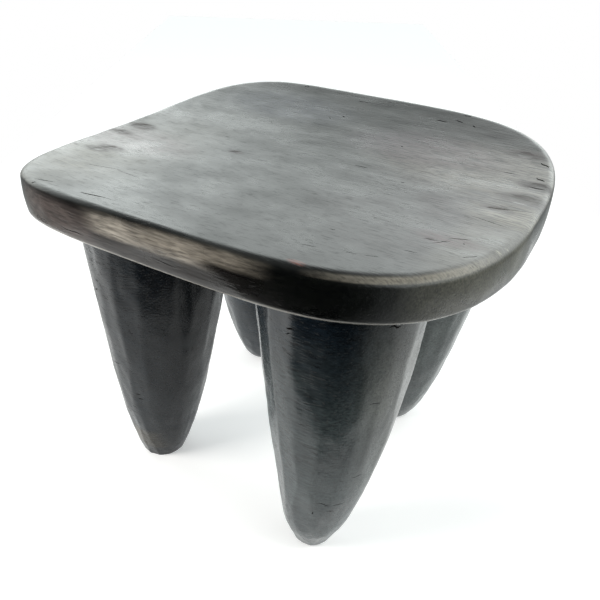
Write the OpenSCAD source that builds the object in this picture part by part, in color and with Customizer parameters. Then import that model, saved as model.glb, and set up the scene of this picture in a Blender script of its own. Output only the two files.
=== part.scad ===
// Carved wooden stool: a thick dished seat on four massive bullet-shaped legs.
// Millimetres, +Z up. The origin is on the floor, under the middle of the seat's outline.
// +X runs along the grain, which is the seat's long side, and -Y is the front.

/* [Seat] */
// Length of the seat, along the grain
seat_len = 450; // [400:1:500]
// Width of the seat, across the grain
seat_wid = 412; // [370:1:450]
// Height of the sitting surface above the floor, along the bottom of the dish
seat_height = 338; // [300:1:380]
// Thickness of the seat
seat_t = 39; // [32:1:46]
// How far the front and back edges stand above the bottom of the dish
dish_rise = 21; // [12:1:30]
// Rounding of the top arris
top_round = 8; // [4:0.5:12]
// Rounding of the bottom arris
bottom_round = 6; // [3:0.5:10]

/* [Outline] */
// How far the left half's long edges run before they turn: 2 is an ellipse, more is squarer
left_fullness = 5; // [3:0.1:8]
// The same for the right half's long edges
right_fullness = 3.6; // [3:0.1:8]
// How far the front half's short edges run before they turn
front_fullness = 2; // [1.7:0.1:4]
// The same for the back half's short edges
back_fullness = 3.3; // [1.7:0.1:5]

/* [Legs] */
// Radius of a leg where it meets the seat
leg_top_r = 75; // [60:0.5:80]
// How soon a leg swells above its foot: 1 is a cone, less is blunter
leg_swell = 0.55; // [0.4:0.01:0.8]
// Height of the worn upright edge round each foot
foot_edge = 2; // [1.5:0.5:5]
// Front left leg: middle of its top, from the middle of the stool
front_left_top = [-100, -88]; // [-120:1:120]
// Front left leg: middle of its foot
front_left_foot = [-109, -106]; // [-130:1:130]
// Front left leg: radius of the flat that it stands on
front_left_foot_r = 19; // [8:0.5:24]
// Front right leg: middle of its top
front_right_top = [104, -95]; // [-120:1:120]
// Front right leg: middle of its foot
front_right_foot = [103, -122]; // [-130:1:130]
// Front right leg: radius of its foot
front_right_foot_r = 13; // [8:0.5:24]
// Rear left leg: middle of its top
rear_left_top = [-106, 94]; // [-120:1:120]
// Rear left leg: middle of its foot
rear_left_foot = [-110, 109]; // [-130:1:130]
// Rear left leg: radius of its foot
rear_left_foot_r = 21; // [8:0.5:24]
// Rear right leg: middle of its top
rear_right_top = [113, 94]; // [-120:1:120]
// Rear right leg: middle of its foot
rear_right_foot = [97, 99]; // [-130:1:130]
// Rear right leg: radius of its foot
rear_right_foot_r = 17; // [8:0.5:24]

/* [Joints] */
// Radius of the round tenon on each leg
tenon_r = 22; // [15:0.5:30]
// Length of the tenon above the leg's shoulder, at its middle
tenon_len = 20; // [14:0.5:24]
// Gap between a tenon and the wall of its mortise
tenon_gap = 0.2; // [0.1:0.05:0.4]
// Gap between a tenon's end and the bottom of its mortise
tenon_end_gap = 0.5; // [0.2:0.1:1]

/* [Fineness] */
// Points round the seat's outline
outline_points = 72; // [48:4:96]
// Rings across the top, and across the underside
face_rings = 5; // [4:1:8]
// Steps round each arris
round_steps = 4; // [3:1:6]
// Bands up a leg
leg_bands = 14; // [10:1:20]

/* [Hidden] */
$fn = 64;
half_len = seat_len / 2;
half_wid = seat_wid / 2;
// The dish is part of a cylinder that lies along X.
dish_r = (half_wid * half_wid + dish_rise * dish_rise) / (2 * dish_rise);
underside = seat_height - seat_t;
// A leg's blank runs this far below the floor, and is cut off level.
blank_foot = 40;
// It also runs this much past its shoulder, as a share of its height.
blank_share = 1.25;
// The cylinder of the dish is wide, so it takes many sides.
dish_sides = 360;
seat_colour = [0.23, 0.22, 0.22];
leg_colour = [0.20, 0.20, 0.21];

// Height of the dish above its lowest line
function dish(y) = dish_r - sqrt(dish_r * dish_r - y * y);

// A power that keeps the sign of its base
function signed_pow(v, p) = sign(v) * pow(abs(v), p);

// A point of the seat's outline, moved in by inset: |x/a|^q + |y/b|^p = 1
function outline_point(t, inset) = [
    (half_len - inset) * signed_pow(cos(t), 2 / (cos(t) < 0 ? left_fullness : right_fullness)),
    (half_wid - inset) * signed_pow(sin(t), 2 / (sin(t) < 0 ? front_fullness : back_fullness))
];

// One ring of the seat: the outline moved in, drawn together by share, and laid on the dish
function seat_ring(inset, share, level) = [
    for (i = [0 : outline_points - 1])
        let (p = share * outline_point(360 * i / outline_points, inset))
            [p[0], p[1], level + dish(p[1])]
];

// The rings from the middle of the top, over both arrises, to the middle of the underside
function seat_rings() = concat(
    [for (k = [1 : face_rings - 1]) seat_ring(top_round, k / face_rings, seat_height)],
    [
        for (k = [0 : round_steps])
            let (a = 90 * k / round_steps)
                seat_ring(top_round * (1 - sin(a)), 1, seat_height - top_round * (1 - cos(a)))
    ],
    [
        for (k = [0 : round_steps])
            let (a = 90 - 90 * k / round_steps)
                seat_ring(bottom_round * (1 - sin(a)), 1, underside + bottom_round * (1 - cos(a)))
    ],
    [for (k = [face_rings - 1 : -1 : 1]) seat_ring(bottom_round, k / face_rings, underside)]
);

// The seat without its mortises
module seat_form() {
    rings = seat_rings();
    n = outline_points;
    last = len(rings) - 1;
    middle_top = len(rings) * n;
    points = concat([for (ring = rings) each ring], [[0, 0, seat_height], [0, 0, underside]]);
    faces = concat(
        [for (i = [0 : n - 1]) [middle_top, (i + 1) % n, i]],
        [
            for (k = [0 : last - 1], i = [0 : n - 1])
                [k * n + i, k * n + (i + 1) % n, (k + 1) * n + (i + 1) % n]
        ],
        [
            for (k = [0 : last - 1], i = [0 : n - 1])
                [k * n + i, (k + 1) * n + (i + 1) % n, (k + 1) * n + i]
        ],
        [for (i = [0 : n - 1]) [middle_top + 1, last * n + i, last * n + (i + 1) % n]]
    );
    polyhedron(points = points, faces = faces);
}

// Height of the seat's underside over the middle of a leg's top
function shoulder(top) = underside + dish(top[1]);

// A leg's radius at a share of its height
function leg_r(foot_r, share) = foot_r + (leg_top_r - foot_r) * pow(share, leg_swell);

// A leg before it is cut at the floor and under the seat, upright on the origin
module leg_blank(length, foot_r) {
    swelling = length - foot_edge;
    rotate_extrude()
        polygon(concat(
            [[0, -blank_foot], [foot_r, -blank_foot]],
            [
                for (k = [0 : leg_bands])
                    let (share = blank_share * pow(k / leg_bands, 2))
                        [leg_r(foot_r, share), foot_edge + swelling * share]
            ],
            [[0, foot_edge + swelling * blank_share]]
        ));
}

// All that lies above the seat's underside, which follows the dish
module above_underside() {
    translate([-half_len, 0, underside + dish_r])
        rotate([0, 90, 0])
            cylinder(r = dish_r, h = seat_len, $fn = dish_sides);
}

// All that lies below the floor, as deep as a leg's blank can reach
module below_floor() {
    translate([-half_len, -half_wid, -2 * blank_foot])
        cube([seat_len, seat_wid, 2 * blank_foot]);
}

// The tenon or its mortise: a cylinder that stands in the seat over the leg's top
module tenon(top, gap, end_gap) {
    translate([top[0], top[1], shoulder(top) - tenon_len])
        cylinder(r = tenon_r + gap, h = 2 * tenon_len + end_gap);
}

// A leg from the middle of its foot to the middle of its top, shouldered against the seat
module leg(top, foot, foot_r) {
    rise = shoulder(top);
    run = top - foot;
    length = norm([run[0], run[1], rise]);
    union() {
        difference() {
            translate([foot[0], foot[1], 0])
                rotate(a = acos(rise / length), v = [-run[1], run[0], 0])
                    leg_blank(length, foot_r);
            above_underside();
            below_floor();
        }
        tenon(top, 0, 0);
    }
}

module seat() {
    color(seat_colour)
        difference() {
            seat_form();
            tenon(front_left_top, tenon_gap, tenon_end_gap);
            tenon(front_right_top, tenon_gap, tenon_end_gap);
            tenon(rear_left_top, tenon_gap, tenon_end_gap);
            tenon(rear_right_top, tenon_gap, tenon_end_gap);
        }
}

module leg_front_left() {
    color(leg_colour) leg(front_left_top, front_left_foot, front_left_foot_r);
}

module leg_front_right() {
    color(leg_colour) leg(front_right_top, front_right_foot, front_right_foot_r);
}

module leg_rear_left() {
    color(leg_colour) leg(rear_left_top, rear_left_foot, rear_left_foot_r);
}

module leg_rear_right() {
    color(leg_colour) leg(rear_right_top, rear_right_foot, rear_right_foot_r);
}

seat();
leg_front_left();
leg_front_right();
leg_rear_left();
leg_rear_right();
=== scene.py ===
"""Carved wooden stool: a thick dished seat on four massive legs, hewn from one block and stained black.

After the photograph's camera, the sections follow the stool as it is carved: the seat, the legs under it,
the joints between them, the marks that drying and use have left, and last the studio.
"""

import random
from math import cos, pi, radians, sin, sqrt

import bpy
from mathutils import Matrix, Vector
from mathutils.bvhtree import BVHTree


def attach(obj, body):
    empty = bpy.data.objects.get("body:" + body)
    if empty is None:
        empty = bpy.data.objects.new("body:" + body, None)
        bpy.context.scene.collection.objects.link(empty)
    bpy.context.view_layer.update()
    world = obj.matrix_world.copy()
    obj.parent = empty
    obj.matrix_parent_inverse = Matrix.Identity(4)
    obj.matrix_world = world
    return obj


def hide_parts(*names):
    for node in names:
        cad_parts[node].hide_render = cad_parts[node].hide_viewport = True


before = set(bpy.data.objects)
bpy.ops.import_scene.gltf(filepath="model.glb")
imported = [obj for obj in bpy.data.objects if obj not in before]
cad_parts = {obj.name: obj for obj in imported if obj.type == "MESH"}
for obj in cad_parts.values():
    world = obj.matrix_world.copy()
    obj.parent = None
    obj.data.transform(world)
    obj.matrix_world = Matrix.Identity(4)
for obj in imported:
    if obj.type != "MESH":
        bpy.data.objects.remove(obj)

scene = bpy.context.scene
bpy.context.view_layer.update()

# The photograph's camera
# A phone held a little above the seat, past the nearest corner. Its place comes from the outlines of the
# seat and the legs in the photograph. It also turns a mark's place in the picture into one on the wood.
picture_side = 600.0
sensor_width_mm = 36.0
focal_length_px = 625.1
optical_middle_px = (295.2, 292.9)
looks_at = Vector((0.0076, -0.0088, 0.200))
camera_turn = radians(29.8)
camera_height_angle = radians(32.4)
camera_roll = radians(2.0)
camera_distance = 0.663

towards_camera = Vector((
    sin(camera_turn) * cos(camera_height_angle),
    -cos(camera_turn) * cos(camera_height_angle),
    sin(camera_height_angle),
))
eye = looks_at + towards_camera * camera_distance
level_right = Vector((0, 0, 1)).cross(towards_camera).normalized()
level_up = towards_camera.cross(level_right)
picture_right = cos(camera_roll) * level_right + sin(camera_roll) * level_up
picture_up = cos(camera_roll) * level_up - sin(camera_roll) * level_right

phone = bpy.data.objects.new("phone", bpy.data.cameras.new("phone"))
phone.data.sensor_width = sensor_width_mm
phone.data.lens = sensor_width_mm * focal_length_px / picture_side
phone.data.shift_x = 0.5 - optical_middle_px[0] / picture_side
phone.data.shift_y = optical_middle_px[1] / picture_side - 0.5
phone.data.clip_start = 0.02
for column, axis in enumerate((picture_right, picture_up, towards_camera)):
    for row in range(3):
        phone.matrix_world[row][column] = axis[row]
phone.matrix_world.translation = eye
scene.collection.objects.link(phone)
scene.camera = phone


def sight_line(pixel):
    """The direction from the camera through a pixel of the photograph."""
    across = (pixel[0] - optical_middle_px[0]) / focal_length_px
    down = (pixel[1] - optical_middle_px[1]) / focal_length_px
    return (picture_right * across - picture_up * down - towards_camera).normalized()


# The seat
# A slab 39 mm thick, hewn square-round with an adze and scraped to a shallow dish along its grain, from
# left to right. Dense hardwood, blackened with a stain, rubbed with wax, and worn brown along its front.


def add(tree, kind, *values, named=None, **settings):
    """Adds a node with its settings. Values go to its sockets in order, or by name: a socket is linked."""
    node = tree.nodes.new(kind)
    for setting, value in settings.items():
        setattr(node, setting, value)
    sockets = [socket for socket in node.inputs if socket.enabled]
    pairs = [*zip(sockets, values), *((node.inputs[name], value) for name, value in (named or {}).items())]
    for socket, value in pairs:
        if isinstance(value, bpy.types.NodeSocket):
            tree.links.new(value, socket)
        elif value is not None:
            socket.default_value = value
    return next((socket for socket in node.outputs if socket.enabled), None)


def stain(code):
    """An sRGB hex colour as the linear colour that a shader takes."""
    parts = [int(code[i:i + 2], 16) / 255 for i in (1, 3, 5)]
    return (*(c / 12.92 if c <= 0.04045 else ((c + 0.055) / 1.055) ** 2.4 for c in parts), 1.0)


MATH, VECTOR = "ShaderNodeMath", "ShaderNodeVectorMath"
RANGE, NOISE = "ShaderNodeMapRange", "ShaderNodeTexNoise"
soft_edge = {"interpolation_type": "SMOOTHSTEP"}


def blank_tree(owner):
    """The emptied shader tree of a material or of the world."""
    owner.use_nodes = True
    owner.node_tree.nodes.clear()
    return owner.node_tree


def grain_patterns(tree, place):
    """Dense hardwood with its grain along X: how the grain wanders, then its fibres, bands, pores and wax."""
    # The fibres wander a few millimetres off the straight over a hand's breadth.
    wander = add(tree, NOISE, add(tree, "ShaderNodeMapping", place, named={"Scale": (7, 11, 11)}), 1.0, 2.0)
    wander = wander.node.outputs["Color"]
    wander = add(tree, VECTOR, wander, (0.5, 0.5, 0.5), operation="SUBTRACT")
    fibre_place = add(tree, VECTOR, wander, (0.0, 0.007, 0.007), place, operation="MULTIPLY_ADD")
    # Fibres: streaks about 1.8 mm apart and 15 mm long. The real ones are a third of that, too fine to show.
    fibres = add(tree, "ShaderNodeMapping", fibre_place, named={"Scale": (65, 560, 560)})
    fibres = add(tree, NOISE, fibres, 1.0, 2.0, 0.55)
    # Growth bands, 5 mm apart.
    bands = add(tree, "ShaderNodeMapping", fibre_place, named={"Scale": (16, 200, 200)})
    bands = add(tree, NOISE, bands, 1.0, 2.0, 0.5)
    # Pores: open vessels, seen as short dark dashes. At 1.5 by 10 mm they are three times as coarse as real
    # ones, which would be too fine to show.
    pores = add(tree, "ShaderNodeMapping", fibre_place, named={"Scale": (95, 650, 650)})
    pores = add(tree, NOISE, pores, 1.0, 1.0, 0.5)
    pores = add(tree, RANGE, pores, 0.60, 0.70, 0.0, 1.0, **soft_edge)
    # Where the wax lies thick or thin, in clouds some 50 mm across.
    patches = add(tree, "ShaderNodeMapping", fibre_place, named={"Scale": (17, 21, 21)})
    patches = add(tree, NOISE, patches, 1.0, 3.0, 0.55)
    return wander, fibres, bands, pores, patches


def inside_window(tree, place, low, high, full_share, inside):
    """How far inside a box a point lies, from 1 over its middle to 0 at its faces, times inside if given."""
    parts = add(tree, "ShaderNodeSeparateXYZ", place).node.outputs
    for axis in range(3):
        middle, half = (low[axis] + high[axis]) / 2, (high[axis] - low[axis]) / 2
        off = add(tree, MATH, parts[axis], middle, operation="SUBTRACT")
        off = add(tree, MATH, off, operation="ABSOLUTE")
        share = add(tree, RANGE, off, half * full_share, half, 1.0, 0.0, **soft_edge)
        inside = share if inside is None else add(tree, MATH, inside, share, operation="MULTIPLY")
    return inside


def worn_and_highlit_arris(tree, place, facing_up, amount, along_from, across_to):
    """Where hands have rubbed the black off the arris and a painted highlight lies on it, where the surface
    turns from level to upright.

    It grows along the seat between the places of along_from, and ends between those of across_to."""
    beside, behind = add(tree, "ShaderNodeSeparateXYZ", place).node.outputs[0:2]
    turn = add(tree, MATH, add(tree, RANGE, facing_up, 0.50, 0.68, 0.0, amount, **soft_edge),
               add(tree, RANGE, facing_up, 0.88, 0.98, 1.0, 0.0, **soft_edge), operation="MULTIPLY")
    stretch = add(tree, MATH, add(tree, RANGE, beside, *along_from, 0.0, 1.0),
                  add(tree, RANGE, behind, *across_to, 1.0, 0.0), operation="MULTIPLY")
    # The arris below is lightened all the way round: a painted highlight of the floor, over a little wear.
    under = add(tree, MATH, add(tree, RANGE, facing_up, -0.25, -0.45, 0.0, amount, **soft_edge),
                add(tree, RANGE, facing_up, -0.65, -0.90, 1.0, 0.0, **soft_edge), operation="MULTIPLY")
    return add(tree, MATH, turn, stretch, under, operation="MULTIPLY_ADD")


def blackened_hardwood(name, dark, light, wear_and_sheen_windows, spots, arris_wear_and_highlight, foot_haze, roughness, relief,
                       pore_depth, gloss):
    """Blackened, waxed hardwood: near black, with a soft sheen that each scraper mark and pore breaks up.

    The grain runs along X through the whole block, so it lies along the seat and across the legs."""
    wood = bpy.data.materials.new(name)
    tree = blank_tree(wood)
    place = add(tree, "ShaderNodeTexCoord").node.outputs["Object"]
    wander, fibres, bands, pores, patches = grain_patterns(tree, place)
    facing = add(tree, "ShaderNodeNewGeometry").node.outputs["Normal"]
    facing_up = add(tree, "ShaderNodeSeparateXYZ", facing).node.outputs[2]

    # Colour: the stain takes unevenly, so some fibres and bands stay a shade lighter.
    tone = add(tree, MATH, bands, 0.45, operation="MULTIPLY")
    tone = add(tree, MATH, fibres, 0.55, tone, operation="MULTIPLY_ADD")
    tone = add(tree, RANGE, tone, 0.36, 0.64, 0.0, 1.0)
    colour = add(tree, "ShaderNodeMix", tone, stain(dark), stain(light), data_type="RGBA")
    # What shows only on the top fades out where the surface turns down.
    level = add(tree, RANGE, facing_up, 0.35, 0.75, 0.0, 1.0, **soft_edge)
    smudged_place = add(tree, VECTOR, wander, (0.10, 0.10, 0.0), place, operation="MULTIPLY_ADD")
    # Each window is wear, dust or a painted sheen. One on the top fades from its very middle, and its faces
    # wander.
    for low, high, shade, amount, on_top in wear_and_sheen_windows:
        if on_top:
            inside = inside_window(tree, smudged_place, low, high, full_share=0.0, inside=level)
        else:
            inside = inside_window(tree, place, low, high, full_share=0.45, inside=None)
        broken = add(tree, MATH, add(tree, RANGE, patches, 0.36, 0.62, 0.55, 1.0),
                     add(tree, RANGE, fibres, 0.34, 0.66, 0.40, 1.0), operation="MULTIPLY")
        share = add(tree, MATH, inside, broken, operation="MULTIPLY")
        share = add(tree, MATH, share, amount, operation="MULTIPLY")
        colour = add(tree, "ShaderNodeMix", share, colour, stain(shade), data_type="RGBA")
    # A spot is an oval along the grain, on the top alone.
    dull = 0.0
    for point, radius, shade, amount, dulled in spots:
        away = add(tree, VECTOR, place, tuple(point), operation="SUBTRACT")
        away = add(tree, VECTOR, away, (0.45, 1, 1), operation="MULTIPLY")
        away = add(tree, VECTOR, away, operation="LENGTH")
        share = add(tree, RANGE, away, radius * 0.35, radius, amount, 0.0, **soft_edge)
        share = add(tree, MATH, share, add(tree, RANGE, fibres, 0.38, 0.56, 0.2, 1.0), operation="MULTIPLY")
        share = add(tree, MATH, share, level, operation="MULTIPLY")
        colour = add(tree, "ShaderNodeMix", share, colour, stain(shade), data_type="RGBA")
        if dulled:
            dull = add(tree, MATH, share, dulled / amount, dull, operation="MULTIPLY_ADD")
    # The arris: rubbed wear, with a painted highlight over it.
    if arris_wear_and_highlight:
        shade, amount, along_from, across_to = arris_wear_and_highlight
        share = worn_and_highlit_arris(tree, place, facing_up, amount, along_from, across_to)
        share = add(tree, MATH, share, add(tree, RANGE, fibres, 0.3, 0.6, 0.5, 1.0), operation="MULTIPLY")
        colour = add(tree, "ShaderNodeMix", share, colour, stain(shade), data_type="RGBA")
    if foot_haze:
        # Towards the feet the legs are scuffed and dusty, which lifts the black to grey.
        shade, amount = foot_haze
        height = add(tree, "ShaderNodeSeparateXYZ", place).node.outputs[2]
        low_down = add(tree, RANGE, height, 0.0, 0.23, amount, 0.0)
        low_down = add(tree, MATH, low_down, add(tree, RANGE, patches, 0.3, 0.7, 0.5, 1.0),
                       operation="MULTIPLY")
        colour = add(tree, "ShaderNodeMix", low_down, colour, stain(shade), data_type="RGBA")
    in_pores = add(tree, MATH, pores, pore_depth, operation="MULTIPLY")
    colour = add(tree, "ShaderNodeMix", in_pores, colour, stain("#0b0b0c"), data_type="RGBA")

    # Surface: wax is smooth where it is rubbed, dull in the pores and where it has worn thin.
    rough = add(tree, RANGE, patches, 0.3, 0.7, *roughness)
    rough = add(tree, MATH, pores, pore_depth * 0.3, rough, operation="MULTIPLY_ADD")
    rough = add(tree, MATH, rough, dull)
    # The fibres stand up to 0.3 mm proud, and a pore is 0.08 mm deep.
    ups_and_downs = add(tree, MATH, add(tree, MATH, fibres, 0.00030, operation="MULTIPLY"),
                        add(tree, MATH, pores, -0.00008, operation="MULTIPLY"))
    bump = add(tree, "ShaderNodeBump", named={"Strength": relief, "Distance": 1.0, "Height": ups_and_downs})
    skin = add(tree, "ShaderNodeBsdfPrincipled",
               named={"Base Color": colour, "Roughness": rough, "IOR": gloss, "Normal": bump})
    add(tree, "ShaderNodeOutputMaterial", skin)
    return wood


def raw_wood(name, shade):
    """The dark, unwaxed wall of a drying check or a tool's nick: stain pooled in it, and dust."""
    wall = bpy.data.materials.new(name)
    tree = blank_tree(wall)
    place = add(tree, "ShaderNodeTexCoord").node.outputs["Object"]
    # The dust lies in streaks 7 mm long and 1.4 mm apart.
    dust = add(tree, NOISE, add(tree, "ShaderNodeMapping", place, named={"Scale": (150, 700, 700)}), 1.0, 2.0)
    colour = add(tree, "ShaderNodeMix", dust, stain("#070707"), stain(shade), data_type="RGBA")
    add(tree, "ShaderNodeOutputMaterial",
        add(tree, "ShaderNodeBsdfPrincipled", named={"Base Color": colour, "Roughness": 0.85}))
    return wall


def carving_tree(name, inputs):
    """A new Geometry Nodes tree, and the sockets of its named inputs."""
    tree = bpy.data.node_groups.new(name, "GeometryNodeTree")
    for input_name, kind in inputs.items():
        tree.interface.new_socket(input_name, in_out="INPUT", socket_type="NodeSocket" + kind)
    tree.interface.new_socket("Geometry", in_out="OUTPUT", socket_type="NodeSocketGeometry")
    return tree, add(tree, "NodeGroupInput").node.outputs


# Hewing: each stroke of the adze or the plane leaves one nearly flat facet. A stroke takes a random point
# of the surface and its normal, and presses all that stands further out than its depth back to that plane.
# Each facet leans a little at random. A stroke at a face that looks further up or down than Steepest
# misses.
hewing, given = carving_tree("hewing", {
    "Geometry": "Geometry", "Strokes": "Int", "Seed": "Int", "Shallowest": "Float", "Deepest": "Float",
    "Softness": "Float", "Steepest": "Float", "Lean": "Float",
})
tree = hewing
first, last = tree.nodes.new("GeometryNodeRepeatInput"), tree.nodes.new("GeometryNodeRepeatOutput")
first.pair_with_output(last)
tree.links.new(given["Strokes"], first.inputs["Iterations"])
tree.links.new(given["Geometry"], first.inputs["Geometry"])
stroke = first.outputs["Iteration"]
point_count = add(tree, "GeometryNodeAttributeDomainSize", given["Geometry"], component="MESH")
pick = add(tree, "FunctionNodeRandomValue", 0, point_count, stroke, given["Seed"], data_type="INT")
hit = add(tree, "GeometryNodeSampleIndex", given["Geometry"], add(tree, "GeometryNodeInputPosition"), pick,
          data_type="FLOAT_VECTOR")
facing = add(tree, "GeometryNodeSampleIndex", given["Geometry"], add(tree, "GeometryNodeInputNormal"), pick,
             data_type="FLOAT_VECTOR")
lean = add(tree, "FunctionNodeRandomValue", (-1, -1, -1), (1, 1, 1), stroke, given["Seed"],
           data_type="FLOAT_VECTOR")
facing = add(tree, VECTOR, facing, add(tree, VECTOR, lean, given["Lean"], operation="SCALE"))
facing = add(tree, VECTOR, facing, operation="NORMALIZE")
bite = add(tree, "FunctionNodeRandomValue", given["Shallowest"], given["Deepest"], stroke, given["Seed"],
           data_type="FLOAT")
upward = add(tree, MATH, add(tree, "ShaderNodeSeparateXYZ", facing).node.outputs[2], operation="ABSOLUTE")
misses = add(tree, "FunctionNodeCompare", upward, given["Steepest"], data_type="FLOAT",
             operation="GREATER_THAN")
bite = add(tree, "GeometryNodeSwitch", misses, bite, -1.0, input_type="FLOAT")
beyond = add(tree, VECTOR, add(tree, "GeometryNodeInputPosition"), hit, operation="SUBTRACT")
proud = add(tree, MATH, add(tree, VECTOR, beyond, facing, operation="DOT_PRODUCT"), bite)
push = add(tree, MATH, proud, 0.0, given["Softness"], operation="SMOOTH_MAX")
push = add(tree, VECTOR, facing, add(tree, MATH, push, -1.0, operation="MULTIPLY"), operation="SCALE")
pressed = add(tree, "GeometryNodeSetPosition", first.outputs["Geometry"], None, None, push)
tree.links.new(pressed, last.inputs["Geometry"])
add(tree, "NodeGroupOutput", last.outputs["Geometry"])

# In metres. A fullness is an exponent of the outline: 2 is an ellipse, and more is squarer.
seat_sizes = {
    "Length": 0.450,
    "Width": 0.412,
    "Height": 0.338,
    "Thickness": 0.039,
    "Dish Rise": 0.021,
    "Top Round": 0.0050,
    "Worn Round": 0.0085,
    "Bottom Round": 0.0045,
    "Belly": 0.0030,
    "Left Fullness": 5.0,
    "Right Fullness": 4.0,
    "Front Fullness": 2.0,
    "Back Fullness": 3.3,
    "Scraper Marks": 0.0009,
}


def dish_circle(tree, width, rise, across):
    """The radius of the dish, and how far its surface lies below its axis at a place across the seat."""
    half_width = add(tree, MATH, width, 0.5, operation="MULTIPLY")
    square = add(tree, MATH, half_width, half_width, operation="MULTIPLY")
    radius = add(tree, MATH, rise, rise, square, operation="MULTIPLY_ADD")
    radius = add(tree, MATH, radius, add(tree, MATH, rise, 2.0, operation="MULTIPLY"), operation="DIVIDE")
    square = add(tree, MATH, add(tree, MATH, radius, radius, operation="MULTIPLY"),
                 add(tree, MATH, across, across, operation="MULTIPLY"), operation="SUBTRACT")
    return radius, add(tree, MATH, square, operation="SQRT")


seat_carving, given = carving_tree(
    "seat carving", {**{name: "Float" for name in seat_sizes}, "Wood": "Material"})
tree = seat_carving
slab = add(tree, "GeometryNodeMeshCube",
           named={"Size": (2, 2, 2), "Vertices X": 196, "Vertices Y": 180, "Vertices Z": 30})
# Each point of the blank cube has a place from -1 to 1 along the seat, across it and up through it.
here = add(tree, "GeometryNodeInputPosition")
along, across, upright = add(tree, "ShaderNodeSeparateXYZ", here).node.outputs
out = add(tree, MATH, add(tree, MATH, along, operation="ABSOLUTE"),
          add(tree, MATH, across, operation="ABSOLUTE"), operation="MAXIMUM")
whole = add(tree, MATH, out, 0.00001, operation="MAXIMUM")
edge_along = add(tree, MATH, along, whole, operation="DIVIDE")
edge_across = add(tree, MATH, across, whole, operation="DIVIDE")
# The outline is |x/a|^q + |y/b|^p = 1, with one q for the left and one for the right, and one p for the
# front and one for the back. A corner of the blank lands where each of the two powers is a half.
on_left = add(tree, "FunctionNodeCompare", along, 0.0, data_type="FLOAT", operation="LESS_THAN")
on_front = add(tree, "FunctionNodeCompare", across, 0.0, data_type="FLOAT", operation="LESS_THAN")
q = add(tree, "GeometryNodeSwitch", on_left, given["Right Fullness"], given["Left Fullness"],
        input_type="FLOAT")
p = add(tree, "GeometryNodeSwitch", on_front, given["Back Fullness"], given["Front Fullness"],
        input_type="FLOAT")
turned_across = add(tree, MATH, add(tree, MATH, edge_across, operation="ABSOLUTE"), p, operation="POWER")
turned_across = add(tree, MATH, turned_across, -0.5, 1.0, operation="MULTIPLY_ADD")
turned_along = add(tree, MATH, add(tree, MATH, edge_along, operation="ABSOLUTE"), q, operation="POWER")
turned_along = add(tree, MATH, turned_along, -0.5, 1.0, operation="MULTIPLY_ADD")
share_x = add(tree, MATH, turned_across, add(tree, MATH, 1.0, q, operation="DIVIDE"), operation="POWER")
share_x = add(tree, MATH, along, share_x, operation="MULTIPLY")
share_y = add(tree, MATH, turned_along, add(tree, MATH, 1.0, p, operation="DIVIDE"), operation="POWER")
share_y = add(tree, MATH, across, share_y, operation="MULTIPLY")
# Down the side: the top arris takes the first 3 tenths of the rows, the bottom arris the last quarter.
down = add(tree, MATH, upright, -0.5, 0.5, operation="MULTIPLY_ADD")
top_turn = add(tree, RANGE, down, 0.0, 0.30, 0.0, pi / 2)
low_turn = add(tree, RANGE, down, 0.75, 1.0, pi / 2, 0.0)
straight = add(tree, RANGE, down, 0.30, 0.75, 0.0, 1.0)
# The top arris is crisp, but worn round at the front right.
worn_round = add(tree, MATH, add(tree, RANGE, along, -0.2, 0.7, 0.0, 1.0),
                 add(tree, RANGE, across, -0.5, 0.0, 1.0, 0.0), operation="MULTIPLY")
top_round = add(tree, RANGE, worn_round, 0.0, 1.0, given["Top Round"], given["Worn Round"])
top_in = add(tree, MATH, 1.0, add(tree, MATH, top_turn, operation="SINE"), operation="SUBTRACT")
top_in = add(tree, MATH, top_in, top_round, operation="MULTIPLY")
low_in = add(tree, MATH, 1.0, add(tree, MATH, low_turn, operation="SINE"), operation="SUBTRACT")
low_in = add(tree, MATH, low_in, given["Bottom Round"], operation="MULTIPLY")
# Between its arrises the side swells to a slight belly.
belly = add(tree, MATH, add(tree, MATH, down, pi, operation="MULTIPLY"), operation="SINE")
belly = add(tree, MATH, belly, given["Belly"], operation="MULTIPLY")
inset = add(tree, MATH, add(tree, MATH, top_in, low_in),
            add(tree, MATH, belly, given["Belly"], operation="SUBTRACT"), operation="SUBTRACT")
half_length = add(tree, MATH, given["Length"], 0.5, operation="MULTIPLY")
half_length = add(tree, MATH, half_length, inset, operation="SUBTRACT")
half_width = add(tree, MATH, given["Width"], 0.5, operation="MULTIPLY")
half_width = add(tree, MATH, half_width, inset, operation="SUBTRACT")
x = add(tree, MATH, share_x, half_length, operation="MULTIPLY")
y = add(tree, MATH, share_y, half_width, operation="MULTIPLY")
rows = add(tree, MATH, given["Thickness"], top_round, operation="SUBTRACT")
rows = add(tree, MATH, rows, given["Bottom Round"], operation="SUBTRACT")
drop = add(tree, MATH, 1.0, add(tree, MATH, top_turn, operation="COSINE"), operation="SUBTRACT")
drop = add(tree, MATH, drop, top_round, operation="MULTIPLY")
drop = add(tree, MATH, rows, straight, drop, operation="MULTIPLY_ADD")
drop = add(tree, MATH, add(tree, MATH, low_turn, operation="COSINE"), given["Bottom Round"], drop,
           operation="MULTIPLY_ADD")
# The dish is part of a cylinder along X that rises to the front and back edges.
dish_radius, below_axis = dish_circle(tree, given["Width"], given["Dish Rise"], y)
dish = add(tree, MATH, dish_radius, below_axis, operation="SUBTRACT")
z = add(tree, MATH, add(tree, MATH, given["Height"], drop, operation="SUBTRACT"), dish)
shaped = add(tree, "GeometryNodeSetPosition", slab, None, add(tree, "ShaderNodeCombineXYZ", x, y, z))
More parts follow.
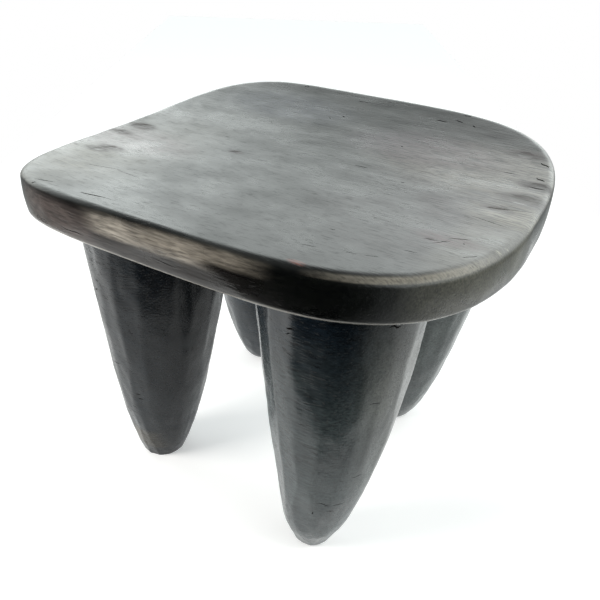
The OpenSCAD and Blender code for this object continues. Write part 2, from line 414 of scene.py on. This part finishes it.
# The side is trimmed with light strokes, and the top is scraped along the grain. The scraper leaves waves
# some 110 mm long and 33 mm wide, over lumps 30 to 40 mm across.
trimmed = add(tree, "GeometryNodeGroup", node_tree=hewing, named={
    "Geometry": shaped, "Strokes": 360, "Seed": 5, "Shallowest": 0.0, "Deepest": 0.0004,
    "Softness": 0.0003, "Steepest": 0.3, "Lean": 0.02,
})
here = add(tree, "GeometryNodeInputPosition")
scraper = add(tree, NOISE, add(tree, VECTOR, here, (9, 30, 30), operation="MULTIPLY"), 1.0, 2.0, 0.5)
lumps = add(tree, NOISE, add(tree, VECTOR, here, (24, 34, 34), operation="MULTIPLY"), 1.0, 1.0, 0.5)
uneven = add(tree, MATH, add(tree, MATH, scraper, add(tree, MATH, lumps, 0.5, operation="MULTIPLY")), -0.75)
uneven = add(tree, MATH, uneven, given["Scraper Marks"], operation="MULTIPLY")
uneven = add(tree, VECTOR, add(tree, "GeometryNodeInputNormal"), uneven, operation="SCALE")
scraped = add(tree, "GeometryNodeSetPosition", trimmed, None, None, uneven)
plain = add(tree, "GeometryNodeRealizeInstances", add(tree, "GeometryNodeSetShadeSmooth", scraped))
add(tree, "NodeGroupOutput", add(tree, "GeometryNodeSetMaterial", plain, None, given["Wood"]))


def carved(name, tree, sizes):
    """Runs a carving tree and keeps its result as a plain mesh, at the origin."""
    blank = bpy.data.objects.new(name + "_blank", bpy.data.meshes.new(name + "_blank"))
    scene.collection.objects.link(blank)
    work = blank.modifiers.new("carving", "NODES")
    work.node_group = tree
    for item in tree.interface.items_tree:
        if item.in_out == "INPUT" and item.name in sizes:
            work[item.identifier] = sizes[item.name]
    mesh = bpy.data.meshes.new_from_object(blank.evaluated_get(bpy.context.evaluated_depsgraph_get()))
    bpy.data.objects.remove(blank)
    mesh.name = name
    piece = bpy.data.objects.new(name, mesh)
    scene.collection.objects.link(piece)
    return piece


def surface_of(piece):
    """A piece's surface, for rays to hit."""
    mesh = piece.data
    return BVHTree.FromPolygons([v.co for v in mesh.vertices], [p.vertices for p in mesh.polygons])


def seen_at(pixel, surface):
    """The point of a surface that shows at a pixel of the photograph."""
    return surface.ray_cast(eye, sight_line(pixel))[0]


seat = carved("carved_seat", seat_carving, seat_sizes)
seat_surface = surface_of(seat)

# Hollows that a slipped adze left on the far rim and the right end: start and end in pixels of the
# photograph, the width and depth in millimetres, and how much duller the wood is inside.
seat_gouges = {
    "left rim, long": ((131, 125), (154, 127), 12.0, 0.45, 0.22),
    "left rim, near": ((114, 131), (128, 132), 10.0, 0.40, 0.22),
    "left rim, double": ((90, 149), (103, 148), 10.0, 0.45, 0.22),
    "left rim, double on": ((104, 147), (118, 148), 10.0, 0.45, 0.22),
    "knot": ((229, 152), (242, 152), 6.0, 0.25, 0.15),
    "right end, high": ((519, 154), (533, 156), 13.0, 0.30, 0.10),
    "right end": ((528, 186), (547, 188), 14.0, 0.35, 0.10),
    "right end, middle": ((511, 198), (536, 201), 17.0, 0.30, 0.06),
    "right end, low": ((485, 208), (509, 211), 10.0, 0.25, 0.06),
}
# Where the black has worn thin or gone dull: a pixel of the photograph, a radius in metres, the shade under
# it, how much of it shows, and how much duller it is.
seat_spots = {
    "red wood on the front arris": ((296, 262), 0.004, "#8f4d40", 0.5, 0.0),
    "chip on the right arris": ((499, 253), 0.0025, "#a9a698", 0.5, 0.0),
    "smaller chip": ((507, 250), 0.002, "#a9a698", 0.4, 0.0),
    "scratched red patch": ((448, 240), 0.016, "#4a383b", 0.9, 0.05),
    "grey right end": ((512, 178), 0.080, "#6d6963", 0.8, 0.0),
    "pale right end": ((530, 222), 0.032, "#7f7a6d", 0.6, 0.0),
    "dark oval at the right end": ((538, 187), 0.011, "#2b2a29", 0.9, 0.08),
    "olive oval at the right end": ((524, 199), 0.012, "#45443a", 0.8, 0.06),
    "blue bloom": ((285, 106), 0.050, "#262b3a", 0.6, 0.0),
    "pink bloom": ((125, 138), 0.050, "#524548", 0.8, 0.0),
    "purple bloom": ((425, 150), 0.050, "#4d3f49", 0.5, 0.0),
}
gouge_spots = [
    (seen_at(((start[0] + end[0]) / 2, (start[1] + end[1]) / 2), seat_surface), width / 1000, "#3a3032", 0.8,
     dulled)
    for start, end, width, _, dulled in seat_gouges.values()
]
seat_wood = blackened_hardwood(
    "blackened hardwood, seat", dark="#050607", light="#0f110f",
    # Lowest and highest corner in metres, shade, amount, and whether it shows on the top alone.
    wear_and_sheen_windows=[
        # ruddy along the front, browner to its left, and beige where knees and hands rub it most; the beige
        # also holds a painted reflection of the window
        ((-0.190, -0.240, 0.302), (0.120, -0.170, 0.356), "#2b2321", 0.70, False),
        ((-0.160, -0.240, 0.314), (-0.045, -0.178, 0.3565), "#625956", 0.75, False),
        ((-0.074, -0.232, 0.334), (0.062, -0.193, 0.3565), "#bab4a9", 0.95, False),
        ((-0.020, -0.232, 0.3415), (0.103, -0.191, 0.3565), "#a39c90", 0.90, False),
        # a dull olive on the side at the right front corner: worn olive wood under a painted sheen
        ((0.163, -0.180, 0.303), (0.243, 0.010, 0.352), "#6b695c", 0.75, False),
        # a greyer, faintly purple bloom over the right end of the top, and a tan one at the left corner
        ((0.010, -0.230, 0.300), (0.330, 0.260, 0.400), "#4f474a", 0.9, True),
        ((-0.320, -0.260, 0.300), (-0.060, 0.090, 0.400), "#645e4d", 0.8, True),
    ],
    # The front right arris is rubbed beige under a painted highlight from above; the arris below has a
    # painted floor highlight.
    # Shade, amount, where along the seat it starts and is full, and where across it is full and ends.
    arris_wear_and_highlight=("#8c877c", 0.85, (0.115, 0.165), (-0.115, -0.060)),
    spots=[(seen_at(pixel, seat_surface), *rest) for pixel, *rest in seat_spots.values()] + gouge_spots,
    foot_haze=None, roughness=(0.22, 0.40), relief=0.5, pore_depth=0.3, gloss=1.5,
)
check_wall = raw_wood("dark wall of a drying check", "#1d1a18")


def give_wood(piece, wood):
    """Gives a piece its wood, and the dark wood that its checks will show."""
    piece.data.materials.clear()
    piece.data.materials.append(wood)
    piece.data.materials.append(check_wall)


give_wood(seat, seat_wood)

# The four legs
# Cut from the same block as the seat, so the grain runs across them. Each swells from a small worn foot to
# a thick shoulder under the seat, hewn in long upright facets that no sandpaper has taken off.
leg_sizes = {
    "Seat Underside": seat_sizes["Height"] - seat_sizes["Thickness"],
    "Seat Width": seat_sizes["Width"],
    "Dish Rise": seat_sizes["Dish Rise"],
    "Left For The Adze": 0.0005,
}
# The middles of a leg's top and foot, how far it bows between them, its radii, how soon it swells (1 is a
# cone), how much of its tip is worn off, and the seed and the depth of its hewing.
legs = {
    "leg_front_left": {
        "Top": (-0.1000, -0.0880, 0), "Foot": (-0.1112, -0.1043, 0), "Bow": (0.0004, 0.0003, 0),
        "Top Radius": 0.0752, "Foot Radius": 0.0238, "Swell": 0.40, "Worn Off": 0.130,
        "Seed": 3, "Hewn": 0.0008,
    },
    "leg_front_right": {
        "Top": (0.1010, -0.0967, 0), "Foot": (0.1019, -0.1235, 0), "Bow": (0.0036, 0.0021, 0),
        "Top Radius": 0.0757, "Foot Radius": 0.0145, "Swell": 0.40, "Worn Off": 0.030,
        "Seed": 14, "Hewn": 0.0012,
    },
    "leg_rear_left": {
        "Top": (-0.1060, 0.0940, 0), "Foot": (-0.1099, 0.1088, 0), "Bow": (-0.0010, -0.0005, 0),
        "Top Radius": 0.0756, "Foot Radius": 0.0185, "Swell": 0.46, "Worn Off": 0.010,
        "Seed": 25, "Hewn": 0.0007,
    },
    "leg_rear_right": {
        "Top": (0.1128, 0.0939, 0), "Foot": (0.0962, 0.0981, 0), "Bow": (0.0008, 0.0005, 0),
        "Top Radius": 0.0755, "Foot Radius": 0.0195, "Swell": 0.45, "Worn Off": 0.017,
        "Seed": 36, "Hewn": 0.0007,
    },
}
leg_carving, given = carving_tree("leg carving", {
    "Top": "Vector", "Foot": "Vector", "Bow": "Vector", "Top Radius": "Float", "Foot Radius": "Float",
    "Swell": "Float", "Worn Off": "Float", "Seed": "Int", "Hewn": "Float",
    **{name: "Float" for name in leg_sizes}, "Wood": "Material",
})
tree = leg_carving
post = add(tree, "GeometryNodeMeshCylinder", fill_type="TRIANGLE_FAN",
           named={"Vertices": 168, "Side Segments": 150, "Fill Segments": 4, "Radius": 1.0, "Depth": 1.0})
here = add(tree, "GeometryNodeInputPosition")
up = add(tree, MATH, add(tree, "ShaderNodeSeparateXYZ", here).node.outputs[2], 0.5)
share = add(tree, MATH, up, up, operation="MULTIPLY")
# The leg is a bullet's nose, share ** swell, with the tip worn off at the floor.
worn = given["Worn Off"]
whole = add(tree, MATH, worn, 1.0)
swollen = add(tree, MATH, add(tree, MATH, share, worn), whole, operation="DIVIDE")
swollen = add(tree, MATH, swollen, given["Swell"], operation="POWER")
tip = add(tree, MATH, add(tree, MATH, worn, whole, operation="DIVIDE"), given["Swell"], operation="POWER")
swollen = add(tree, MATH, add(tree, MATH, swollen, tip, operation="SUBTRACT"),
              add(tree, MATH, 1.0, tip, operation="SUBTRACT"), operation="DIVIDE")
radius = add(tree, MATH, given["Top Radius"], given["Foot Radius"], operation="SUBTRACT")
radius = add(tree, MATH, radius, swollen, given["Foot Radius"], operation="MULTIPLY_ADD")
radius = add(tree, MATH, radius, given["Left For The Adze"])
middle = add(tree, "ShaderNodeMix", share, given["Foot"], given["Top"], data_type="VECTOR")
bowed = add(tree, MATH, share, add(tree, MATH, 1.0, share, operation="SUBTRACT"), operation="MULTIPLY")
bowed = add(tree, MATH, bowed, 4.0, operation="MULTIPLY")
middle = add(tree, VECTOR, middle, add(tree, VECTOR, given["Bow"], bowed, operation="SCALE"))
flat = add(tree, VECTOR, here, (1, 1, 0), operation="MULTIPLY")
ring = add(tree, VECTOR, add(tree, VECTOR, flat, radius, operation="SCALE"), middle)
ring_x, ring_y, _ = add(tree, "ShaderNodeSeparateXYZ", ring).node.outputs
dish_radius, below_axis = dish_circle(tree, given["Seat Width"], given["Dish Rise"], ring_y)
shoulder = add(tree, MATH, given["Seat Underside"], dish_radius)
shoulder = add(tree, MATH, shoulder, below_axis, operation="SUBTRACT")
ring_z = add(tree, MATH, share, shoulder, operation="MULTIPLY")
ring_place = add(tree, "ShaderNodeCombineXYZ", ring_x, ring_y, ring_z)
shaped = add(tree, "GeometryNodeSetPosition", post, None, ring_place)
# The strokes leave soft facets 15 to 30 mm wide and up to a hand long.
hewn = add(tree, "GeometryNodeGroup", node_tree=hewing, named={
    "Geometry": shaped, "Strokes": 150, "Seed": given["Seed"], "Shallowest": 0.0001, "Deepest": given["Hewn"],
    "Softness": 0.0003, "Steepest": 0.45, "Lean": 0.025,
})
# The side also ripples by about half a millimetre, every 22 mm round it and every 45 mm up it.
ripple_height = 0.0022
here = add(tree, "GeometryNodeInputPosition")
ripple = add(tree, NOISE, add(tree, VECTOR, here, (45, 45, 22), operation="MULTIPLY"), 1.0, 2.0, 0.5)
ripple = add(tree, MATH, add(tree, MATH, ripple, -0.5), ripple_height, operation="MULTIPLY")
ripple = add(tree, VECTOR, add(tree, "GeometryNodeInputNormal"), ripple, operation="SCALE")
side = add(tree, RANGE, share, 0.0, 0.01, 0.0, 1.0)
ripple = add(tree, VECTOR, ripple, side, operation="SCALE")
rippled = add(tree, "GeometryNodeSetPosition", hewn, None, None, ripple)
# Nothing of the foot goes below the floor.
now = add(tree, "ShaderNodeSeparateXYZ", add(tree, "GeometryNodeInputPosition")).node.outputs
above_floor = add(tree, MATH, now[2], 0.0, operation="MAXIMUM")
levelled = add(tree, "ShaderNodeCombineXYZ", now[0], now[1], above_floor)
standing = add(tree, "GeometryNodeSetPosition", rippled, None, levelled)
plain = add(tree, "GeometryNodeRealizeInstances", add(tree, "GeometryNodeSetShadeSmooth", standing))
add(tree, "NodeGroupOutput", add(tree, "GeometryNodeSetMaterial", plain, None, given["Wood"]))

# Both leg woods lean blue: a painted cast of the bluish shade on the legs.
leg_wood = blackened_hardwood(
    "blackened hardwood, legs", dark="#080c12", light="#151f28",
    wear_and_sheen_windows=[
        # dusty down the front right leg, most of all near its foot
        ((0.020, -0.210, -0.200), (0.190, -0.040, 0.310), "#566060", 0.95, False),
        # and a painted highlight in dull olive along that leg's outer edge
        ((0.140, -0.220, -0.050), (0.230, -0.010, 0.340), "#6f6f64", 0.50, False),
        # dusty all down the rear right leg
        ((0.020, 0.010, -0.350), (0.220, 0.200, 0.500), "#5f6763", 0.80, False),
    ],
    arris_wear_and_highlight=None, spots=[], foot_haze=("#47545a", 0.24),
    roughness=(0.15, 0.30), relief=0.45, pore_depth=0.6, gloss=1.42,
)
# The front left leg has lost more of its wax, so it mirrors less of the room. Its foot is scuffed brown.
dry_leg_wood = blackened_hardwood(
    "drier blackened hardwood, front left leg", dark="#070b10", light="#121a21",
    wear_and_sheen_windows=[((-0.150, -0.160, 0.012), (-0.080, -0.110, 0.052), "#5d5440", 0.7, False)],
    arris_wear_and_highlight=None, spots=[], foot_haze=("#47545a", 0.10),
    roughness=(0.17, 0.32), relief=0.45, pore_depth=0.6, gloss=1.34,
)
leg_pieces = {}
for name, own in legs.items():
    wood = dry_leg_wood if name == "leg_front_left" else leg_wood
    leg_pieces[name] = carved("carved_" + name, leg_carving, {**leg_sizes, **own, "Wood": wood})
    give_wood(leg_pieces[name], wood)

# Tenons and mortises
# Each leg carries a round tenon, 44 mm across, let 20 mm into a blind mortise in the seat's underside.
# The joints stand for the unbroken wood of the real stool, which is carved from one block.
tenon_radius, tenon_length = 0.022, 0.020
tenon_gap, tenon_end_gap = 0.0002, 0.0005
dish_r = ((seat_sizes["Width"] / 2) ** 2 + seat_sizes["Dish Rise"] ** 2) / (2 * seat_sizes["Dish Rise"])


def rod(name, middle, low, high, radius):
    """A round rod, as a closed mesh."""
    sides = 64
    around = [(radius * cos(2 * pi * i / sides), radius * sin(2 * pi * i / sides)) for i in range(sides)]
    points = [(middle[0] + a, middle[1] + b, level) for level in (low, high) for a, b in around]
    walls = [(i, (i + 1) % sides, sides + (i + 1) % sides, sides + i) for i in range(sides)]
    mesh = bpy.data.meshes.new(name)
    mesh.from_pydata(points, [], [*walls, tuple(reversed(range(sides))), tuple(range(sides, 2 * sides))])
    piece = bpy.data.objects.new(name, mesh)
    scene.collection.objects.link(piece)
    return piece


def work_on(piece, tool, operation):
    """Joins the tool to the piece, or takes it away, and removes the tool."""
    cut = piece.modifiers.new("cut", "BOOLEAN")
    cut.object, cut.operation, cut.solver = tool, operation, "MANIFOLD"
    done = bpy.data.meshes.new_from_object(piece.evaluated_get(bpy.context.evaluated_depsgraph_get()))
    piece.modifiers.clear()
    old, name = piece.data, piece.data.name
    piece.data = done
    bpy.data.meshes.remove(old)
    done.name = name
    bpy.data.objects.remove(tool)


tenon_middles = {
    "leg_front_left": (-0.100, -0.088), "leg_front_right": (0.104, -0.095),
    "leg_rear_left": (-0.106, 0.094), "leg_rear_right": (0.113, 0.094),
}
for name, top in tenon_middles.items():
    shoulder_level = leg_sizes["Seat Underside"] + dish_r - sqrt(dish_r ** 2 - top[1] ** 2)
    low, high = shoulder_level - tenon_length, shoulder_level + tenon_length
    work_on(leg_pieces[name], rod(name + "_tenon", top, low, high, tenon_radius), "UNION")
    mortise = rod(name + "_mortise", top, low, high + tenon_end_gap, tenon_radius + tenon_gap)
    work_on(seat, mortise, "DIFFERENCE")

# Drying checks, nicks and gouges
# The block split a little along its grain as it dried, mostly near its ends, and the adze left hollows on
# the rim. A mark is its start and end in pixels of the photograph, then its width and depth in millimetres.
seat_checks = {
    "left corner, long": ((79, 192), (107, 198), 2.1, 5),
    "left corner, tip": ((33, 179), (56, 182), 1.4, 3),
    "left corner, short": ((31, 183), (36, 182), 1.4, 3),
    "left, curved": ((83, 163), (122, 170), 1.0, 2),
    "left, curved on": ((116, 169), (141, 179), 0.8, 2),
    "middle, hooked": ((354, 165), (368, 168), 1.1, 3),
    "middle dot": ((401, 146), (403, 147), 1.3, 3),
    "middle dot, low": ((401, 182), (404, 183), 1.3, 3),
    "back dot": ((329, 118), (331, 118), 2.0, 3),
    "back dot, right": ((342, 116), (345, 117), 1.7, 3),
    "back groove": ((358, 101), (370, 103), 1.4, 2),
    "back rim nick": ((305, 86), (309, 87), 2.5, 3),
    "back right, left": ((435, 120), (448, 122), 2.1, 4),
    "back right, mid": ((455, 120), (464, 123), 2.0, 4),
    "back right, tip": ((465, 115), (471, 117), 2.1, 4),
    "back right, dot": ((472, 126), (476, 127), 1.8, 3),
    "right end, top": ((541, 163), (549, 168), 2.2, 5),
    "right end, long": ((536, 178), (545, 182), 2.0, 5),
    "right end, below": ((527, 186), (545, 190), 1.0, 2),
    "right, long faint": ((487, 207), (534, 213), 0.8, 2),
    "right, longer": ((468, 215), (512, 229), 0.8, 2),
    "right, thin": ((503, 172), (515, 174), 0.8, 2),
    "cluster, top": ((422, 238), (440, 241), 1.0, 2),
    "cluster, middle": ((430, 243), (452, 241), 1.0, 2),
    "cluster, right": ((447, 238), (473, 240), 1.0, 3),
    "cluster, dot": ((463, 244), (465, 244), 1.5, 3),
    "front edge, right": ((462, 258), (478, 256), 1.0, 3),
    "front, small": ((345, 252), (358, 254), 0.8, 2),
    "front, small on": ((363, 255), (380, 257), 0.8, 2),
    "front, short": ((403, 250), (418, 253), 1.0, 2),
    "front, left": ((300, 244), (318, 247), 1.0, 2),
    "front, dash": ((330, 229), (336, 230), 1.0, 2),
    "middle, fleck": ((272, 174), (281, 174), 0.8, 2),
    "side, left": ((60, 226), (84, 236), 0.8, 2),
    "side, mid": ((150, 257), (176, 268), 0.8, 2),
    "side, front": ((222, 271), (262, 283), 0.8, 2),
}
leg_checks = {
    "leg_front_left": {
        "outer edge": ((96, 279), (98, 282), 1.7, 3),
        "outer edge, low": ((95, 288), (98, 290), 1.7, 3),
        "outer, middle": ((114, 361), (120, 363), 1.3, 2),
        "low, upper": ((136, 394), (141, 395), 1.7, 3),
        "low, lower": ((138, 398), (144, 400), 1.5, 3),
    },
    "leg_front_right": {
        "under the seat": ((286, 328), (294, 329), 2.0, 4),
        "under the seat, low": ((285, 333), (291, 334), 1.3, 2),
        "low, wavy": ((316, 503), (331, 506), 1.1, 2),
        "low, wavy on": ((331, 506), (345, 502), 1.1, 2),
        "low, short": ((326, 511), (333, 511), 1.3, 2),
        "foot dot": ((311, 513), (314, 513), 2.2, 2),
        "right, fine": ((352, 478), (362, 474), 1.0, 2),
        # a groove cut where there is only the shadow between seat and leg: painted shadow, not a check
        "dark groove for the shadow under the seat": ((389, 328), (402, 325), 2.2, 4),
        "right, upper": ((369, 405), (382, 402), 0.8, 1.5),
    },
}
# Edges sharper than this stay crisp.
crisp_angle = radians(38)


def check_blade(points, faces, surface, start, end, width, depth, chance):
    """A thin wavy wedge that follows the surface from start to end and tapers out at both."""
    steps, lift, base = 12, 0.0006, len(points)
    along = (end - start).normalized()
    sway = chance.uniform(-0.6, 0.6) * width
    for i in range(steps + 1):
        part = i / steps
        taper = max(0.06, sin(pi * part) ** 0.6)
        on, normal, _, _ = surface.find_nearest(start.lerp(end, part))
        across = normal.cross(along).normalized()
        on = on + across * (sway * sin(2 * pi * part) + chance.uniform(-0.12, 0.12) * width)
        half = width / 2 * taper
        points += [on - across * half + normal * lift, on + across * half + normal * lift,
                   on - normal * depth * taper]
    for i in range(steps):
        near, far = base + 3 * i, base + 3 * (i + 1)
        faces += [(near, far, far + 1, near + 1), (near + 1, far + 1, far + 2, near + 2),
                  (near + 2, far + 2, far, near)]
    end_ring = base + 3 * steps
    faces += [(base, base + 1, base + 2), (end_ring + 2, end_ring + 1, end_ring)]


def gouge_lens(points, faces, surface, start, end, width, depth):
    """A shallow lens that takes one slip of the adze out of the surface.

    It is larger than the hollow that it leaves, because more than half of it stays above the wood."""
    rings, sides, base = 8, 28, len(points)
    wider, thicker = 1.3, 2.4
    along = end - start
    on, normal, _, _ = surface.find_nearest(start.lerp(end, 0.5))
    across = normal.cross(along).normalized()
    half_long, half_wide, thick = along.length / 2 * wider, width / 2 * wider, depth * thicker
    middle = on + normal * (thick - depth)
    points.append(middle + normal * thick)
    for ring in range(1, rings):
        down = pi * ring / rings
        for side in range(sides):
            turn = 2 * pi * side / sides
            points.append(middle + along.normalized() * (half_long * sin(down) * cos(turn))
                          + across * (half_wide * sin(down) * sin(turn)) + normal * (thick * cos(down)))
    points.append(middle - normal * thick)
    first, last = base + 1, base + 1 + (rings - 1) * sides
    faces += [(base, first + side, first + (side + 1) % sides) for side in range(sides)]
    for ring in range(rings - 2):
        high, low = first + ring * sides, first + (ring + 1) * sides
        faces += [(high + side, low + side, low + (side + 1) % sides, high + (side + 1) % sides)
                  for side in range(sides)]
    high = last - sides
    faces += [(high + side, last, high + (side + 1) % sides) for side in range(sides)]


def mark(piece, surface, checks, gouges, seed):
    """Cuts a piece's checks and gouges, and keeps their rims crisp."""
    chance = random.Random(seed)
    points, faces, dark = [], [], []
    for start, end, width, depth in checks.values():
        before = len(faces)
        check_blade(points, faces, surface, seen_at(start, surface), seen_at(end, surface), width / 1000,
                    depth / 1000, chance)
        dark += [1] * (len(faces) - before)
    for start, end, width, depth, _ in gouges.values():
        before = len(faces)
        gouge_lens(points, faces, surface, seen_at(start, surface), seen_at(end, surface), width / 1000,
                   depth / 1000)
        dark += [0] * (len(faces) - before)
    mesh = bpy.data.meshes.new(piece.name + "_marks")
    mesh.from_pydata(points, [], faces)
    tool = bpy.data.objects.new(piece.name + "_marks", mesh)
    scene.collection.objects.link(tool)
    for wood in piece.data.materials:
        mesh.materials.append(wood)
    mesh.polygons.foreach_set("material_index", dark)
    mesh.polygons.foreach_set("use_smooth", [True] * len(faces))
    work_on(piece, tool, "DIFFERENCE")
    piece.data.set_sharp_from_angle(angle=crisp_angle)


mark(seat, seat_surface, seat_checks, seat_gouges, seed=11)
for name, checks in leg_checks.items():
    mark(leg_pieces[name], surface_of(leg_pieces[name]), checks, {}, seed=12)
# The rear legs have no marks, so only their own edges are made crisp.
for name in ("leg_rear_left", "leg_rear_right"):
    leg_pieces[name].data.set_sharp_from_angle(angle=crisp_angle)

# Nothing moves, so all five pieces ride on the part's one body, each in place of the solid of its name.
for node, piece in (("seat", seat), *leg_pieces.items()):
    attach(piece, "root")
    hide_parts(node)

# The studio
# A white table in a pale room, lit from behind and from both sides, and by two lamps that the wood doesn't
# mirror. The table ends just below the picture, so the nearest faces mirror the dark room beyond its edge.

# The table lies square to the camera. Its edges are measured from the stool, along these two directions.
near_way = Vector((0.50, -0.866, 0.0))
across_way = Vector((0.866, 0.50, 0.0))
near_edge, far_edge, left_edge, right_edge = 0.32, 3.00, 0.70, 0.64
floor_mesh = bpy.data.meshes.new("white_table")
corners = [near_way * near_edge - across_way * left_edge, near_way * near_edge + across_way * right_edge,
           near_way * -far_edge + across_way * right_edge, near_way * -far_edge - across_way * left_edge]
floor_mesh.from_pydata(corners, [], [(0, 1, 2, 3)])
floor = bpy.data.objects.new("white_table", floor_mesh)
scene.collection.objects.link(floor)
paper = bpy.data.materials.new("white paper")
tree = blank_tree(paper)
# The paper glows for the camera and in mirrors alone, just enough to look white in both.
paper_glow = 0.365
light_path = add(tree, "ShaderNodeLightPath").node.outputs
seen = add(tree, MATH, light_path["Is Camera Ray"], light_path["Is Glossy Ray"], operation="MAXIMUM")
matt = add(tree, "ShaderNodeBsdfDiffuse", stain("#e6e7e8"))
glow = add(tree, "ShaderNodeEmission", (1, 1, 1, 1), add(tree, MATH, seen, paper_glow, operation="MULTIPLY"))
add(tree, "ShaderNodeOutputMaterial", add(tree, "ShaderNodeAddShader", matt, glow))
floor_mesh.materials.append(paper)

room = bpy.data.worlds.new("studio")
scene.world = room
tree = blank_tree(room)
way = add(tree, "ShaderNodeTexCoord").node.outputs["Generated"]
# The room is dark towards the front, behind the camera.
dark_side = (0.0, -1.0, 0.0)
lit_side = add(tree, VECTOR, way, dark_side, operation="DOT_PRODUCT")
lit_side = add(tree, RANGE, lit_side, 0.10, 0.50, 1.0, 0.005, **soft_edge)
# Straight behind the stool the wall is dimmest. To either side it is nearly twice as bright, and further
# round it fades again.
flank = add(tree, VECTOR, way, tuple(across_way), operation="DOT_PRODUCT")
flank = add(tree, MATH, add(tree, MATH, flank, 0.055, operation="SUBTRACT"), operation="ABSOLUTE")
brightest = add(tree, MATH, add(tree, RANGE, flank, 0.04, 0.46, 2.25, 4.2, **soft_edge),
                add(tree, RANGE, flank, 0.60, 0.95, 1.0, 0.62, **soft_edge), operation="MULTIPLY")
# The walls rise out of a dimmer foot and end under a dark ceiling.
height = add(tree, "ShaderNodeSeparateXYZ", way).node.outputs[2]
walls = add(tree, RANGE, height, -0.05, 0.27, 0.15, 1.06, **soft_edge)
ceiling = add(tree, RANGE, height, 0.35, 0.75, 1.0, 0.07, **soft_edge)
lit = add(tree, MATH, add(tree, MATH, lit_side, brightest, operation="MULTIPLY"),
          add(tree, MATH, walls, ceiling, operation="MULTIPLY"), operation="MULTIPLY")
# The camera itself sees plain white beyond the table.
light_path = add(tree, "ShaderNodeLightPath").node.outputs
strength = add(tree, "ShaderNodeMix", light_path["Is Camera Ray"], lit, 1.0, data_type="FLOAT")
tint = add(tree, "ShaderNodeMix", light_path["Is Camera Ray"], stain("#f8fffd"), (1, 1, 1, 1),
           data_type="RGBA")
add(tree, "ShaderNodeOutputWorld", add(tree, "ShaderNodeBackground", tint, strength))

# A low window at the front left, and a lamp high on the right.
for name, place, size, brightness in (
    ("window", Vector((-0.85, -0.89, 0.62)), (0.60, 0.55), 18.5),
    ("lamp", Vector((0.95, -0.06, 1.30)), (0.35, 0.35), 16.0),
):
    lamp = bpy.data.lights.new(name, "AREA")
    lamp.shape = "RECTANGLE"
    lamp.size, lamp.size_y = size
    lamp.energy = brightness * pi * size[0] * size[1]
    lamp.color = stain("#fffbf6")[:3]
    light = bpy.data.objects.new(name, lamp)
    light.location = place
    light.rotation_euler = (Vector((0, 0, 0.25)) - place).to_track_quat("-Z", "Y").to_euler()
    light.visible_glossy = False
    scene.collection.objects.link(light)

scene.view_settings.view_transform = "Standard"
